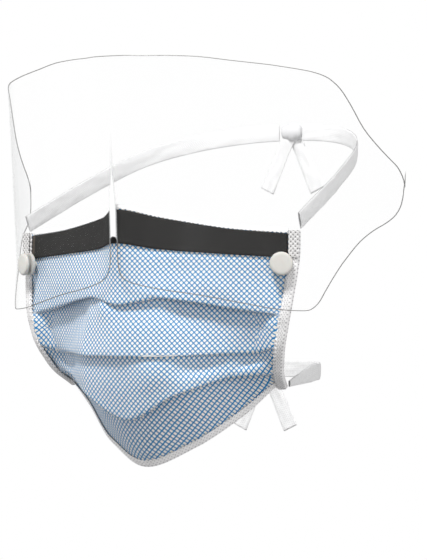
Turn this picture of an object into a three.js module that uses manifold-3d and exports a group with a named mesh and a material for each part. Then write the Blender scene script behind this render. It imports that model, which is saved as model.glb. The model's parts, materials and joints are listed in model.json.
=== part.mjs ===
// A tie-on surgical face mask: three pleats folded downwards, a dark anti-glare strip along the
// top edge, bound sides and hem, a clear wraparound splash visor held by a button rivet at each
// side, and four ties that meet in an upper and a lower knot at the back.
// Millimetres. +X is the left side as the mask is worn, the mask faces -Y and +Z is up. The
// origin is the middle of the top edge.
import * as THREE from "three";
import { mergeVertices } from "three/addons/utils/BufferGeometryUtils.js";
import Module from "manifold-3d";

// Driving dimensions of the cloth body
const HALF_WIDTH = 72;
const DROP = 123;
const WRAP = 43;
const WALL = 1;
const GAP = 0.3;
const SEAM = 4.4;

// Bindings and the anti-glare strip
const BINDING_WIDTH = 5.6;
const BINDING_PLY = 0.6;
const BINDING_RISE = 0.3;
const BINDING_FOOT = 2;
const BINDING_TOE_ROOM = 0.85;
const BINDING_END_ROOM = 1.5;
const TOP_BINDING_LEG = 2;
const HEM_BINDING_LEG = 2.8;
const STRIP_PLY = 0.6;
const FLARE_TOP = 16;
const FLARE_FOOT = 30;
const PATCH_MARGIN = 0.4;

// Visor film
const VISOR_HALF_ARC = 148.5;
const VISOR_RISE = 71;
const VISOR_FALL = 49;
const VISOR_PLY = 0.5;
const VISOR_PLAY = 0.5;
const VISOR_STAND_OFF = 3.2;
const VISOR_TENT = 21;
const VISOR_NOSE_ROUND = 10;
const VISOR_BEND_OFFSET = 3;
const VISOR_CHEEK_RADIUS = 34;
const VISOR_LOBE_RADIUS = 230;
const VISOR_LOBE_FROM = 60;
const VISOR_LEAN = 0.05;
const NOTCH_HALF_WIDTH = 1.8;
const NOTCH_TOP = 14.2;
const NOTCH_FALL = 22;
const NOTCH_FLARE = 12.2;

// Button rivets
const RIVET_RADIUS = 5.5;
const RIVET_CAP_HEIGHT = 2;
const RIVET_WASHER_HEIGHT = 1.6;
const RIVET_FOOT_HEIGHT = 1;
const RIVET_POST_RADIUS = 1.3;
const RIVET_ROUND = 0.6;
const RIVET_INSET = 3.4;
const RIVET_SEAT_ROOM = 0.6;
const RIVET_DROP = 26.8;
const RIVET_SIDES = 24;

// Ties and knots
const TIE_WIDTH = 8.5;
const TIE_PLY = 0.6;
const TIE_START_SHARE = 0.35;
const TIE_WIDENING = 2;
const CROWN_HALF_WIDTH = 71;
const CROWN_HALF_DEPTH = 92;
const CROWN_CENTRE_Y = 81.5;
const CROWN_RISE = 50;
const NECK_RADIUS = 53;
const NECK_CENTRE_Y = 91;
const NECK_DROP = 80;
const KNOT_PLAY = 0.7;
const KNOT_WIDTH = 13;
const KNOT_HEIGHT = 10;
const KNOT_DEPTH = 7;
const KNOT_TAIL = 34;
const KNOT_TAIL_SPREAD = 16;
const KNOT_TAIL_PLY = 1.2;
const KNOT_TAIL_SHIFT = 0.9;

// How finely the shapes are divided
const COLUMNS_PER_SPAN = 5;
const TIE_STATIONS = 26;
const NOTCH_TURNS = [0, 30, 60, 90];
const KNOT_SIDES = 16;
const KNOT_RINGS = 10;

// The least share of a panel or step, the distance within which points are one, and the least
// divisor of a mitre, which limits how far a sharp fold's corner reaches
const HAIR = 1e-6;
const MERGE_DISTANCE = 1e-4;
const MITRE_LIMIT = 0.4;

// One row for each fold line of the body, from the top edge to the hem, at the centre, at the
// shoulder of the box that the cloth forms in front, at the hollow beside the binding and
// at the side. x is a share of HALF_WIDTH, y of WRAP and z of DROP, downwards.
const FOLDS = [
  ["top edge", 0, 0, 0.208, 0.291, 0.033, 0.625, 0.6, 0.077, 1, 0.86, 0.093],
  ["strip foot", -0.023, 0.14, 0.222, 0.198, 0.163, 0.639, 0.5, 0.183, 1, 0.849, 0.195],
  ["nose", 0.007, 0.276, 0.264, 0.163, 0.268, 0.681, 0.512, 0.293, 0.979, 0.809, 0.305],
  ["first lip", 0, 0.377, 0.25, 0.112, 0.348, 0.653, 0.488, 0.386, 0.958, 0.756, 0.411],
  ["first tuck", 0.074, 0.353, 0.264, 0.209, 0.325, 0.75, 0.802, 0.37, 0.958, 0.767, 0.416],
  ["second panel", 0.012, 0.472, 0.292, 0.151, 0.463, 0.792, 0.86, 0.467, 0.933, 0.777, 0.476],
  ["second lip", 0, 0.577, 0.306, 0.112, 0.576, 0.764, 0.802, 0.557, 0.903, 0.795, 0.538],
  ["second tuck", 0.055, 0.554, 0.306, 0.178, 0.553, 0.75, 0.849, 0.537, 0.903, 0.807, 0.544],
  ["third panel", 0.115, 0.699, 0.333, 0.2, 0.659, 0.722, 0.837, 0.606, 0.869, 0.891, 0.589],
  ["third lip", 0.2, 0.825, 0.335, 0.225, 0.728, 0.597, 0.64, 0.657, 0.833, 0.984, 0.639],
  ["third tuck", 0.34, 0.765, 0.32, 0.39, 0.687, 0.597, 0.83, 0.636, 0.833, 0.998, 0.645],
  ["chin panel", 0.48, 0.9, 0.333, 0.6, 0.801, 0.611, 0.96, 0.707, 0.814, 1.093, 0.66],
  ["hem", 0.628, 1, 0.347, 0.814, 0.911, 0.611, 1.093, 0.785, 0.792, 1.186, 0.683],
].map(([name, cy, cz, sx, sy, sz, kx, ky, kz, ex, ey, ez]) => ({
  name,
  centre: place(0, cy, cz),
  shoulder: place(sx, sy, sz),
  hollow: place(kx, ky, kz),
  side: place(ex, ey, ez),
}));
const ROW = Object.fromEntries(FOLDS.map((fold, index) => [fold.name, index]));

// The outline of half the visor, from the notch to the tip of the lobe.
// along is a share of VISOR_HALF_ARC, top of VISOR_RISE and foot of VISOR_FALL.
const VISOR_EDGE = [
  { along: 0.05, top: 1, foot: -0.72 },
  { along: 0.095, top: 0.997, foot: -0.76 },
  { along: 0.163, top: 0.997, foot: -0.8 },
  { along: 0.272, top: 0.989, foot: -0.847 },
  { along: 0.374, top: 0.963, foot: -0.904 },
  { along: 0.446, top: 0.946, foot: -0.945 },
  { along: 0.51, top: 0.93, foot: -0.98 },
  { along: 0.599, top: 0.899, foot: -1 },
  { along: 0.626, top: 0.887, foot: -0.99 },
  { along: 0.653, top: 0.87, foot: -0.929 },
  { along: 0.68, top: 0.845, foot: -0.812 },
  { along: 0.721, top: 0.782, foot: -0.645 },
  { along: 0.762, top: 0.68, foot: -0.5 },
  { along: 0.816, top: 0.528, foot: -0.333 },
  { along: 0.871, top: 0.423, foot: -0.224 },
  { along: 0.925, top: 0.338, foot: -0.147 },
  { along: 0.966, top: 0.277, foot: -0.065 },
  { along: 0.99, top: 0.214, foot: 0.031 },
  { along: 1, top: 0.165, foot: 0.17 },
];

// The notch in the visor's foot: along is a share of the half width at its flared foot, fall a share
// of its height below the middle of the round end.
const NOTCH_EDGE = [
  { along: 0.17, fall: 0.5 },
  { along: 0.25, fall: 0.68 },
  { along: 0.34, fall: 0.77 },
];

const UP = new THREE.Vector3(0, 0, 1);
const wasm = await Module();
wasm.setup();

const part = new THREE.Group();
const finish = (color, roughness, extra = {}) =>
  new THREE.MeshStandardMaterial({ color, roughness, metalness: 0, ...extra });
const MATERIAL = {
  cloth: finish(0xb6c9da, 0.85),
  strip: finish(0x424141, 0.7),
  binding: finish(0xdedcdc, 0.9),
  film: finish(0xf2f4f4, 0.08, { transparent: true, opacity: 0.25 }),
  button: finish(0xd8d7d0, 0.45),
  tie: finish(0xf0f0f0, 0.9),
};

function place(x, y, z) {
  return new THREE.Vector3(x * HALF_WIDTH, y * WRAP, -z * DROP);
}

function mirrored(point) {
  return new THREE.Vector3(-point.x, point.y, point.z);
}

// A closed mesh from points and triangles, turned so that its faces point outwards.
function solid(points, triangles) {
  const volume = triangles.reduce((sum, [a, b, c]) => {
    const cross = new THREE.Vector3().crossVectors(points[b], points[c]);
    return sum + points[a].dot(cross);
  }, 0);
  const facing = volume < 0 ? triangles.map(([a, b, c]) => [a, c, b]) : triangles;
  const geometry = new THREE.BufferGeometry();
  geometry.setAttribute(
    "position",
    new THREE.Float32BufferAttribute(points.flatMap((p) => [p.x, p.y, p.z]), 3),
  );
  geometry.setIndex(facing.flat());
  return geometry;
}

// The vector by which each point of a sheet's middle surface moves to reach half a unit of
// thickness on one side. Folds across a section are mitred, so that the wall keeps its
// thickness round them.
function halfThickness(grid) {
  const last = grid.length - 1;
  return grid.map((section, i) => {
    const before = grid[Math.max(i - 1, 0)];
    const after = grid[Math.min(i + 1, last)];
    const faces = section.slice(1).map((point, j) => {
      const along = new THREE.Vector3()
        .subVectors(after[j], before[j])
        .add(new THREE.Vector3().subVectors(after[j + 1], before[j + 1]));
      const across = new THREE.Vector3().subVectors(point, section[j]);
      return new THREE.Vector3().crossVectors(along, across).normalize();
    });
    return section.map((point, j) => {
      const upper = faces[Math.max(j - 1, 0)];
      const lower = faces[Math.min(j, faces.length - 1)];
      const sum = new THREE.Vector3().addVectors(upper, lower);
      return sum.multiplyScalar(0.5 / Math.max(1 + upper.dot(lower), MITRE_LIMIT));
    });
  });
}

// A sheet of even thickness about a middle surface. The grid holds sections, each a list of
// points.
function sheet(grid, ply) {
  const half = halfThickness(grid);
  const width = grid[0].length;
  const side = (sign) =>
    grid.flatMap((section, i) =>
      section.map((point, j) => point.clone().addScaledVector(half[i][j], sign * ply)),
    );
  const points = [...side(1), ...side(-1)];
  const front = (i, j) => i * width + j;
  const back = (i, j) => grid.length * width + front(i, j);
  const triangles = [];
  const quad = (a, b, c, d) => triangles.push([a, b, c], [a, c, d]);
  for (let i = 0; i < grid.length - 1; i += 1) {
    for (let j = 0; j < width - 1; j += 1) {
      quad(front(i, j), front(i + 1, j), front(i + 1, j + 1), front(i, j + 1));
      quad(back(i, j), back(i, j + 1), back(i + 1, j + 1), back(i + 1, j));
    }
    quad(front(i, 0), back(i, 0), back(i + 1, 0), front(i + 1, 0));
    const end = width - 1;
    quad(front(i, end), front(i + 1, end), back(i + 1, end), back(i, end));
  }
  for (let j = 0; j < width - 1; j += 1) {
    quad(front(0, j), front(0, j + 1), back(0, j + 1), back(0, j));
    const end = grid.length - 1;
    quad(front(end, j), back(end, j), back(end, j + 1), front(end, j + 1));
  }
  return solid(points, triangles);
}

function add(name, geometry, material) {
  const mesh = new THREE.Mesh(geometry, material.clone());
  mesh.name = name;
  part.add(mesh);
  return mesh;
}

// A mesh's geometry, placed, as a solid that can be cut.
function cuttable(geometry) {
  const bare = geometry.index ? geometry.toNonIndexed() : geometry.clone();
  bare.deleteAttribute("normal");
  bare.deleteAttribute("uv");
  const merged = mergeVertices(bare, MERGE_DISTANCE);
  return new wasm.Manifold(
    new wasm.Mesh({
      numProp: 3,
      vertProperties: merged.attributes.position.array,
      triVerts: new Uint32Array(merged.index.array),
    }),
  );
}

function carve(geometry, tools) {
  const cut = tools.reduce((body, tool) => body.subtract(cuttable(tool)), cuttable(geometry));
  const mesh = cut.getMesh();
  const result = new THREE.BufferGeometry();
  result.setAttribute("position", new THREE.BufferAttribute(mesh.vertProperties, 3));
  result.setIndex(new THREE.BufferAttribute(mesh.triVerts, 1));
  return result;
}

// The direction in which the side binding stands out from the cloth, turning backwards as it
// goes down.
function flare(sidePoint) {
  const foot = FOLDS[ROW.hem].side.z;
  const share = THREE.MathUtils.clamp(sidePoint.z / foot, 0, 1);
  const turn = THREE.MathUtils.degToRad(FLARE_TOP + (FLARE_FOOT - FLARE_TOP) * share);
  return new THREE.Vector3(Math.cos(turn), Math.sin(turn), 0);
}

// Half of a fold line, from the centre to the side, and the seam allowance beyond it.
function foldLine(fold) {
  const right = [fold.shoulder, fold.hollow, fold.side];
  const left = [...right].reverse().map(mirrored);
  const curve = new THREE.CatmullRomCurve3([...left, fold.centre, ...right], false, "centripetal");
  const spans = 3 * COLUMNS_PER_SPAN;
  const half = Array.from({ length: spans + 1 }, (_, k) => curve.getPoint(0.5 + (0.5 * k) / spans));
  half.push(fold.side.clone().addScaledVector(flare(fold.side), SEAM));
  return half;
}

// The body's middle surface. Column 0 is the centre, SIDE the visible edge on either side.
const LINES = FOLDS.map(foldLine);
const SIDE = 3 * COLUMNS_PER_SPAN;
const LAST_ROW = FOLDS.length - 1;

function cloth(column, row) {
  const size = Math.min(Math.abs(column), SIDE + 1);
  const c = Math.min(Math.floor(size), SIDE);
  const r = Math.min(Math.floor(row), LAST_ROW - 1);
  const upper = LINES[r][c].clone().lerp(LINES[r][c + 1], size - c);
  const lower = LINES[r + 1][c].clone().lerp(LINES[r + 1][c + 1], size - c);
  const point = upper.lerp(lower, row - r);
  return column < 0 ? mirrored(point) : point;
}

// The direction out of the cloth, towards the front, on the panel between two rows.
function outward(column, row) {
  const step = 0.5;
  const level = Math.min(Math.floor(row), LAST_ROW - 1);
  const at = THREE.MathUtils.clamp(column, -SIDE + step, SIDE - step);
  const along = cloth(at + step, row).sub(cloth(at - step, row));
  const down = cloth(column, level + 1).sub(cloth(column, level));
  return along.cross(down).normalize().negate();
}

function lifted(column, row, height) {
  return cloth(column, row).addScaledVector(outward(column, row), height);
}

// The columns of the visible cloth between the side bindings.
function visibleColumns() {
  const spanWidth = cloth(SIDE, 0).distanceTo(cloth(SIDE - 1, 0));
  const end = SIDE - BINDING_END_ROOM / spanWidth;
  const inner = Array.from({ length: 2 * SIDE - 1 }, (_, k) => k - SIDE + 1);
  return [-end, ...inner, end];
}

function maskBody() {
  const grid = [];
  for (let column = -SIDE - 1; column <= SIDE + 1; column += 1)
    grid.push(FOLDS.map((_, row) => cloth(column, row)));
  return sheet(grid, WALL);
}

const PLY_LIFT = WALL / 2 + GAP + BINDING_PLY / 2;

// The share of the panel between two rows that a length covers at a column.
function shareOf(length, column, row) {
  return length / cloth(column, row).distanceTo(cloth(column, row + 1));
}

function topBinding() {
  return sheet(
    visibleColumns().map((column) => {
      const leg = shareOf(TOP_BINDING_LEG, column, 0);
      const up = cloth(column, 0).sub(cloth(column, 1)).setLength(GAP + BINDING_PLY / 2);
      return [
        lifted(column, leg, PLY_LIFT),
        lifted(column, 0, PLY_LIFT).add(up),
        lifted(column, 0, -PLY_LIFT).add(up),
        lifted(column, leg, -PLY_LIFT),
      ];
    }),
    BINDING_PLY,
  );
}

function hemBinding() {
  const below = LAST_ROW - HAIR;
  return sheet(
    visibleColumns().map((column) => {
      const leg = LAST_ROW - shareOf(HEM_BINDING_LEG, column, LAST_ROW - 1);
      const down = cloth(column, LAST_ROW)
        .sub(cloth(column, LAST_ROW - 1))
        .setLength(GAP + BINDING_PLY / 2);
      return [
        lifted(column, leg, PLY_LIFT),
        lifted(column, below, PLY_LIFT).add(down),
        lifted(column, below, -PLY_LIFT).add(down),
        lifted(column, leg, -PLY_LIFT),
      ];
    }),
    BINDING_PLY,
  );
}

function glareStrip() {
  const lift = WALL / 2 + GAP + STRIP_PLY / 2;
  return sheet(
    visibleColumns().map((column) => {
      const from = shareOf(TOP_BINDING_LEG + GAP, column, 0);
      return [from, 0.5, 1 - HAIR].map((row) => lifted(column, row, lift));
    }),
    STRIP_PLY,
  );
}

// The stations of a side binding, down the edge of the cloth, each with its direction out and
// its direction through the cloth.
function sideStations() {
  const names = ["top edge", "strip foot", "nose", "first lip", "second lip", "third lip", "hem"];
  const edge = names.map((name) => FOLDS[ROW[name]].side.clone());
  const first = edge[0].clone().sub(edge[1]).setLength(BINDING_RISE);
  edge.unshift(edge[0].clone().add(first));
  const foot = edge[edge.length - 1];
  edge.push(foot.clone().add(foot.clone().sub(edge[edge.length - 2]).setLength(BINDING_FOOT)));
  return edge.map((point, i) => {
    const out = flare(point);
    const down = edge[Math.min(i + 1, edge.length - 1)].clone().sub(edge[Math.max(i - 1, 0)]);
    const through = down.cross(out).normalize();
    return { point, out, through };
  });
}

const STATIONS = sideStations();
const CHANNEL = WALL / 2 + GAP + BINDING_TOE_ROOM + BINDING_PLY / 2;

function sideBinding(sign) {
  const grid = STATIONS.map(({ point, out, through }) => {
    const outer = BINDING_WIDTH - BINDING_PLY / 2;
    const corner = (across, depth) =>
      point.clone().addScaledVector(out, across).addScaledVector(through, depth);
    const section = [
      corner(0, CHANNEL),
      corner(outer, CHANNEL),
      corner(outer, -CHANNEL),
      corner(0, -CHANNEL),
    ];
    return sign < 0 ? section.map(mirrored) : section;
  });
  return sheet(grid, BINDING_PLY);
}

// The welded end of the upper tie, flat on the front of the binding.
function tiePatch(sign) {
  const lift = CHANNEL + BINDING_PLY + GAP;
  const top = STATIONS[0];
  const foot = STATIONS[2];
  const grid = [0, 0.5, 1].map((share) => {
    const point = top.point.clone().lerp(foot.point, share);
    const out = flare(point);
    const through = top.through.clone().lerp(foot.through, share).normalize();
    const front = Math.sign(through.y) * -1;
    const row = [PATCH_MARGIN, BINDING_WIDTH - PATCH_MARGIN].map((across) =>
      point.clone().addScaledVector(out, across).addScaledVector(through, front * lift),
    );
    return sign < 0 ? row.map(mirrored) : row;
  });
  return sheet(grid, TIE_PLY);
}

// The visor's plan curve, by arc length from the centre: a shallow tent in front, then the bend
// behind the rivet and the nearly straight lobe.
const VISOR_STEP = 0.5;
const VISOR_PLAN = visorPlan();

function visorPlan() {
  const rivet = rivetSeat(1);
  const filmHeight = rivetStack().film;
  const target = rivet.point.clone().addScaledVector(rivet.out, filmHeight);
  const tent = Math.tan(THREE.MathUtils.degToRad(VISOR_TENT));
  const startY = -VISOR_STAND_OFF;
  const rise = target.y - startY - tent * (target.x - VISOR_NOSE_ROUND / 2);
  const bend = rise / (target.x ** 2 - VISOR_NOSE_ROUND ** 2 / 3);
  const bendFrom = target.x + VISOR_BEND_OFFSET;
  const plan = [{ x: 0, y: startY, angle: 0 }];
  for (let s = 0; s < VISOR_HALF_ARC + VISOR_STEP; s += VISOR_STEP) {
    const now = plan[plan.length - 1];
    const x = now.x + VISOR_STEP * Math.cos(now.angle);
    const y = now.y + VISOR_STEP * Math.sin(now.angle);
    const from = THREE.MathUtils.degToRad(VISOR_LOBE_FROM);
    const radius = now.angle < from ? VISOR_CHEEK_RADIUS : VISOR_LOBE_RADIUS;
    const slope = (tent + 2 * bend * x) * Math.min(x / VISOR_NOSE_ROUND, 1);
    const angle = x < bendFrom ? Math.atan(slope) : now.angle + VISOR_STEP / radius;
    plan.push({ x, y, angle });
  }
  return plan;
}

// A point of the film, from its developed place: along the arc, and up.
function film(along, height) {
  const at = Math.min(Math.abs(along) / VISOR_STEP, VISOR_PLAN.length - 1 - HAIR);
  const k = Math.floor(at);
  const a = VISOR_PLAN[k];
  const b = VISOR_PLAN[k + 1];
  const angle = THREE.MathUtils.lerp(a.angle, b.angle, at - k);
  const lean = VISOR_LEAN * Math.abs(height + RIVET_DROP);
  const x = THREE.MathUtils.lerp(a.x, b.x, at - k) + Math.sin(angle) * lean;
  const y = THREE.MathUtils.lerp(a.y, b.y, at - k) - Math.cos(angle) * lean;
  return new THREE.Vector3(Math.sign(along) * x, y, height);
}

// Half of the visor's outline as columns from the centre outwards.
function visorColumns() {
  const columns = [];
  const middle = -NOTCH_TOP - NOTCH_HALF_WIDTH;
  NOTCH_TURNS.forEach((degrees) => {
    const turn = THREE.MathUtils.degToRad(degrees);
    columns.push({
      along: NOTCH_HALF_WIDTH * Math.sin(turn),
      top: VISOR_RISE,
      foot: middle + NOTCH_HALF_WIDTH * Math.cos(turn),
    });
  });
  NOTCH_EDGE.forEach(({ along, fall }) =>
    columns.push({ along: along * NOTCH_FLARE, top: VISOR_RISE, foot: middle - fall * NOTCH_FALL }),
  );
  VISOR_EDGE.forEach(({ along, top, foot }) => {
    const height = foot < 0 ? foot * VISOR_FALL : foot * VISOR_RISE;
    columns.push({ along: along * VISOR_HALF_ARC, top: top * VISOR_RISE, foot: height });
  });
  return columns;
}

// The heights at which the film is shaped, as shares of its height; the second is at the rivets.
const VISOR_LEVELS = [0, 0.2, 0.6, 1];

function visor() {
  const right = visorColumns();
  const left = right.slice(1).reverse().map((column) => ({ ...column, along: -column.along }));
  const grid = [...left, ...right].map(({ along, top, foot }) => {
    const low = Math.min(foot, top - VISOR_PLY);
    return VISOR_LEVELS.map((share) => film(along, THREE.MathUtils.lerp(low, top, share)));
  });
  const holes = [-1, 1].map((sign) => postTool(sign));
  return carve(sheet(grid, VISOR_PLY), holes);
}

// Where a rivet's axis meets the middle of the cloth, and the direction of that axis.
function rivetSeat(sign) {
  const row = ROW["strip foot"];
  const below = (RIVET_DROP + cloth(SIDE, row).z) / (cloth(SIDE, row).z - cloth(SIDE, row + 1).z);
  const spanWidth = cloth(SIDE, row).distanceTo(cloth(SIDE - 1, row));
  const column = SIDE - RIVET_INSET / spanWidth;
  const out = outward(column, row + below).setZ(0).normalize();
  const point = cloth(column, row + below);
  return { point: sign < 0 ? mirrored(point) : point, out: sign < 0 ? mirrored(out) : out };
}

// Heights of the rivet's pieces above the middle of the cloth.
function rivetStack() {
  const washer = CHANNEL + BINDING_PLY / 2 + GAP + RIVET_SEAT_ROOM;
  const filmMiddle = washer + RIVET_WASHER_HEIGHT + VISOR_PLAY + VISOR_PLY / 2;
  const cap = filmMiddle + VISOR_PLY / 2 + VISOR_PLAY;
  const foot = -(CHANNEL + BINDING_PLY / 2);
  return { washer, film: filmMiddle, cap, foot };
}

function onRivet(geometry, sign) {
  const { point, out } = rivetSeat(sign);
  const turn = new THREE.Quaternion().setFromUnitVectors(new THREE.Vector3(0, 1, 0), out);
  return geometry.applyQuaternion(turn).translate(point.x, point.y, point.z);
}

function turned(profile) {
  const points = profile.map(([radius, height]) => new THREE.Vector2(radius, height));
  return new THREE.LatheGeometry(points, RIVET_SIDES);
}

// A cylinder on the rivet's axis, GAP larger than what passes through, to cut its hole.
function rivetTool(sign, radius) {
  const reach = 2 * (rivetStack().cap + RIVET_CAP_HEIGHT);
  const around = radius + GAP;
  return onRivet(new THREE.CylinderGeometry(around, around, reach, RIVET_SIDES), sign);
}

function postTool(sign) {
  return rivetTool(sign, RIVET_POST_RADIUS);
}

function rivetCap(sign) {
  const { cap, foot } = rivetStack();
  const top = cap + RIVET_CAP_HEIGHT;
  return onRivet(
    turned([
      [0, foot],
      [RIVET_POST_RADIUS, foot],
      [RIVET_POST_RADIUS, cap],
      [RIVET_RADIUS - RIVET_ROUND / 2, cap],
      [RIVET_RADIUS, cap + RIVET_ROUND / 2],
      [RIVET_RADIUS, top - RIVET_ROUND],
      [RIVET_RADIUS - RIVET_ROUND, top],
      [0, top],
    ]),
    sign,
  );
}

function rivetWasher(sign) {
  const { washer } = rivetStack();
  const top = washer + RIVET_WASHER_HEIGHT;
  const hole = RIVET_POST_RADIUS + GAP;
  return onRivet(
    turned([
      [hole, washer],
      [RIVET_RADIUS - RIVET_ROUND / 2, washer],
      [RIVET_RADIUS, washer + RIVET_ROUND / 2],
      [RIVET_RADIUS, top - RIVET_ROUND / 2],
      [RIVET_RADIUS - RIVET_ROUND / 2, top],
      [hole, top],
      [hole, washer],
    ]),
    sign,
  );
}

// The rivet's inner disc, flat behind the cloth.
function rivetFoot(sign) {
  const top = rivetStack().foot - GAP;
  const low = top - RIVET_FOOT_HEIGHT;
  return onRivet(
    turned([
      [0, low],
      [RIVET_RADIUS - RIVET_ROUND, low],
      [RIVET_RADIUS, low + RIVET_ROUND],
      [RIVET_RADIUS, top],
      [0, top],
    ]),
    sign,
  );
}

// A flat tie along a curve, standing on edge.
function strap(curve, to, widthAt) {
  const grid = Array.from({ length: TIE_STATIONS + 1 }, (_, k) => {
    const share = (to * k) / TIE_STATIONS;
    const point = curve.getPointAt(share);
    const along = curve.getTangentAt(share);
    const across = UP.clone().addScaledVector(along, -UP.dot(along)).normalize();
    const half = widthAt(share) / 2;
    return [
      point.clone().addScaledVector(across, half),
      point,
      point.clone().addScaledVector(across, -half),
    ];
  });
  return sheet(grid, TIE_PLY);
}

// How far the upper tie has turned towards the back, and risen, as a share of CROWN_RISE.
const CROWN_STEPS = [
  { degrees: 95, rise: 0.42 },
  { degrees: 120, rise: 0.72 },
  { degrees: 140, rise: 0.88 },
  { degrees: 160, rise: 0.97 },
  { degrees: 180, rise: 1 },
];

// How far the lower tie has turned towards the back.
const NECK_STEPS = [100, 120, 140, 160, 180];

// The upper tie rises from the patch and runs round to the upper knot.
function topTiePath() {
  const { point, out } = STATIONS[0];
  const start = point.clone().addScaledVector(out, BINDING_WIDTH - TIE_PLY);
  start.z += TIE_WIDTH / 2 + GAP;
  const points = [start];
  CROWN_STEPS.forEach(({ degrees, rise }) => {
    const turn = THREE.MathUtils.degToRad(degrees);
    points.push(
      new THREE.Vector3(
        CROWN_HALF_WIDTH * Math.sin(turn),
        CROWN_CENTRE_Y - CROWN_HALF_DEPTH * Math.cos(turn),
        start.z + CROWN_RISE * rise,
      ),
    );
  });
  return new THREE.CatmullRomCurve3(points, false, "centripetal");
}

// The lower tie runs from the foot of the binding round to the lower knot.
function bottomTiePath() {
  const { point, out } = STATIONS[STATIONS.length - 2];
  const start = point.clone().addScaledVector(out, BINDING_WIDTH + GAP + TIE_PLY);
  const points = [start];
  NECK_STEPS.forEach((degrees) => {
    const turn = THREE.MathUtils.degToRad(degrees);
    points.push(
      new THREE.Vector3(
        NECK_RADIUS * Math.sin(turn),
        NECK_CENTRE_Y - NECK_RADIUS * Math.cos(turn),
        -NECK_DROP,
      ),
    );
  });
  return new THREE.CatmullRomCurve3(points, false, "centripetal");
}

function knot(path) {
  const end = path.getPointAt(1);
  const tail = (sign) => {
    const flat = new THREE.BoxGeometry(TIE_WIDTH, KNOT_TAIL_PLY, KNOT_TAIL);
    flat.translate(0, 0, -KNOT_TAIL / 2);
    const lean = Math.atan2(KNOT_TAIL_SPREAD, KNOT_TAIL) * sign;
    flat.rotateY(-lean);
    return flat.translate(0, sign * KNOT_TAIL_SHIFT, 0);
  };
  const ball = new THREE.SphereGeometry(0.5, KNOT_SIDES, KNOT_RINGS);
  ball.scale(KNOT_WIDTH, KNOT_DEPTH, KNOT_HEIGHT);
  const joined = cuttable(ball).add(cuttable(tail(1))).add(cuttable(tail(-1))).getMesh();
  const geometry = new THREE.BufferGeometry();
  geometry.setAttribute("position", new THREE.BufferAttribute(joined.vertProperties, 3));
  geometry.setIndex(new THREE.BufferAttribute(joined.triVerts, 1));
  return geometry.translate(end.x, end.y, end.z);
}

// How much of a tie's path the knot takes up at its end.
function knotShare(path) {
  return (KNOT_WIDTH / 2 + KNOT_PLAY) / path.getLength();
}

add("mask_body", carve(maskBody(), [postTool(1), postTool(-1)]), MATERIAL.cloth);
add("top_binding", topBinding(), MATERIAL.binding);
add("glare_strip", carve(glareStrip(), [postTool(1), postTool(-1)]), MATERIAL.strip);
add("hem_binding", hemBinding(), MATERIAL.binding);
add("visor", visor(), MATERIAL.film);
[
  ["left", 1],
  ["right", -1],
].forEach(([hand, sign]) => {
  add(`side_binding_${hand}`, sideBinding(sign), MATERIAL.binding);
  const patch = carve(tiePatch(sign), [rivetTool(sign, RIVET_RADIUS)]);
  add(`tie_patch_${hand}`, patch, MATERIAL.binding);
  add(`rivet_cap_${hand}`, rivetCap(sign), MATERIAL.button);
  add(`rivet_washer_${hand}`, rivetWasher(sign), MATERIAL.button);
  add(`rivet_foot_${hand}`, rivetFoot(sign), MATERIAL.button);
  const upper = topTiePath();
  const lower = bottomTiePath();
  const full = () => TIE_WIDTH;
  const widening = (share) => TIE_WIDTH * Math.min(TIE_START_SHARE + TIE_WIDENING * share, 1);
  const topTie = strap(upper, 1 - knotShare(upper), full);
  const bottomTie = strap(lower, 1 - knotShare(lower), widening);
  [
    [`top_tie_${hand}`, topTie],
    [`bottom_tie_${hand}`, bottomTie],
  ].forEach(([name, geometry]) => {
    const mesh = add(name, geometry, MATERIAL.tie);
    if (sign < 0) mesh.scale.x = -1;
  });
});
add("top_knot", knot(topTiePath()), MATERIAL.tie);
add("bottom_knot", knot(bottomTiePath()), MATERIAL.tie);

export default part;
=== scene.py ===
"""Tie-on surgical face mask with a clear splash visor.

The cloth, tapes, film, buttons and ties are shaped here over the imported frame. Metres. +X is
the left side as the mask is worn, the mask faces -Y, +Z is up, and the origin is the middle of
the top edge.
"""

import json
import math

import bmesh
import bpy
from mathutils import Matrix, Vector, noise


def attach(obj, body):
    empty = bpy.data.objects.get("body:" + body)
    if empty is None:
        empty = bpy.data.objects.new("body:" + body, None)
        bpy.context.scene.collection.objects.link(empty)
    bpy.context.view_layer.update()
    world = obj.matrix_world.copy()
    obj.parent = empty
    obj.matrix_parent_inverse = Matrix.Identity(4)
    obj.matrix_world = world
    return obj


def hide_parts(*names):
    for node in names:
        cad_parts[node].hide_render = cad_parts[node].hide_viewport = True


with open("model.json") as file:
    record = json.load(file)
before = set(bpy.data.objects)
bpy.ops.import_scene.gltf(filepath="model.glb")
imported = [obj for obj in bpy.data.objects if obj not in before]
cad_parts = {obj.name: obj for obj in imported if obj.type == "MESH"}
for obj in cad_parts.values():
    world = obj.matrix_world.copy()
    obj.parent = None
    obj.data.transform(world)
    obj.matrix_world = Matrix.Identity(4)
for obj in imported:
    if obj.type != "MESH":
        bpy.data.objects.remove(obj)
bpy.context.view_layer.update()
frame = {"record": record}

# Sizes of the cloth body.
HALF_WIDTH = 0.072
DROP = 0.123
WRAP = 0.043
CLOTH_PLY = 0.0007
CAD_WALL = 0.001
GAP = 0.0003
SEAM = 0.0044

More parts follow.
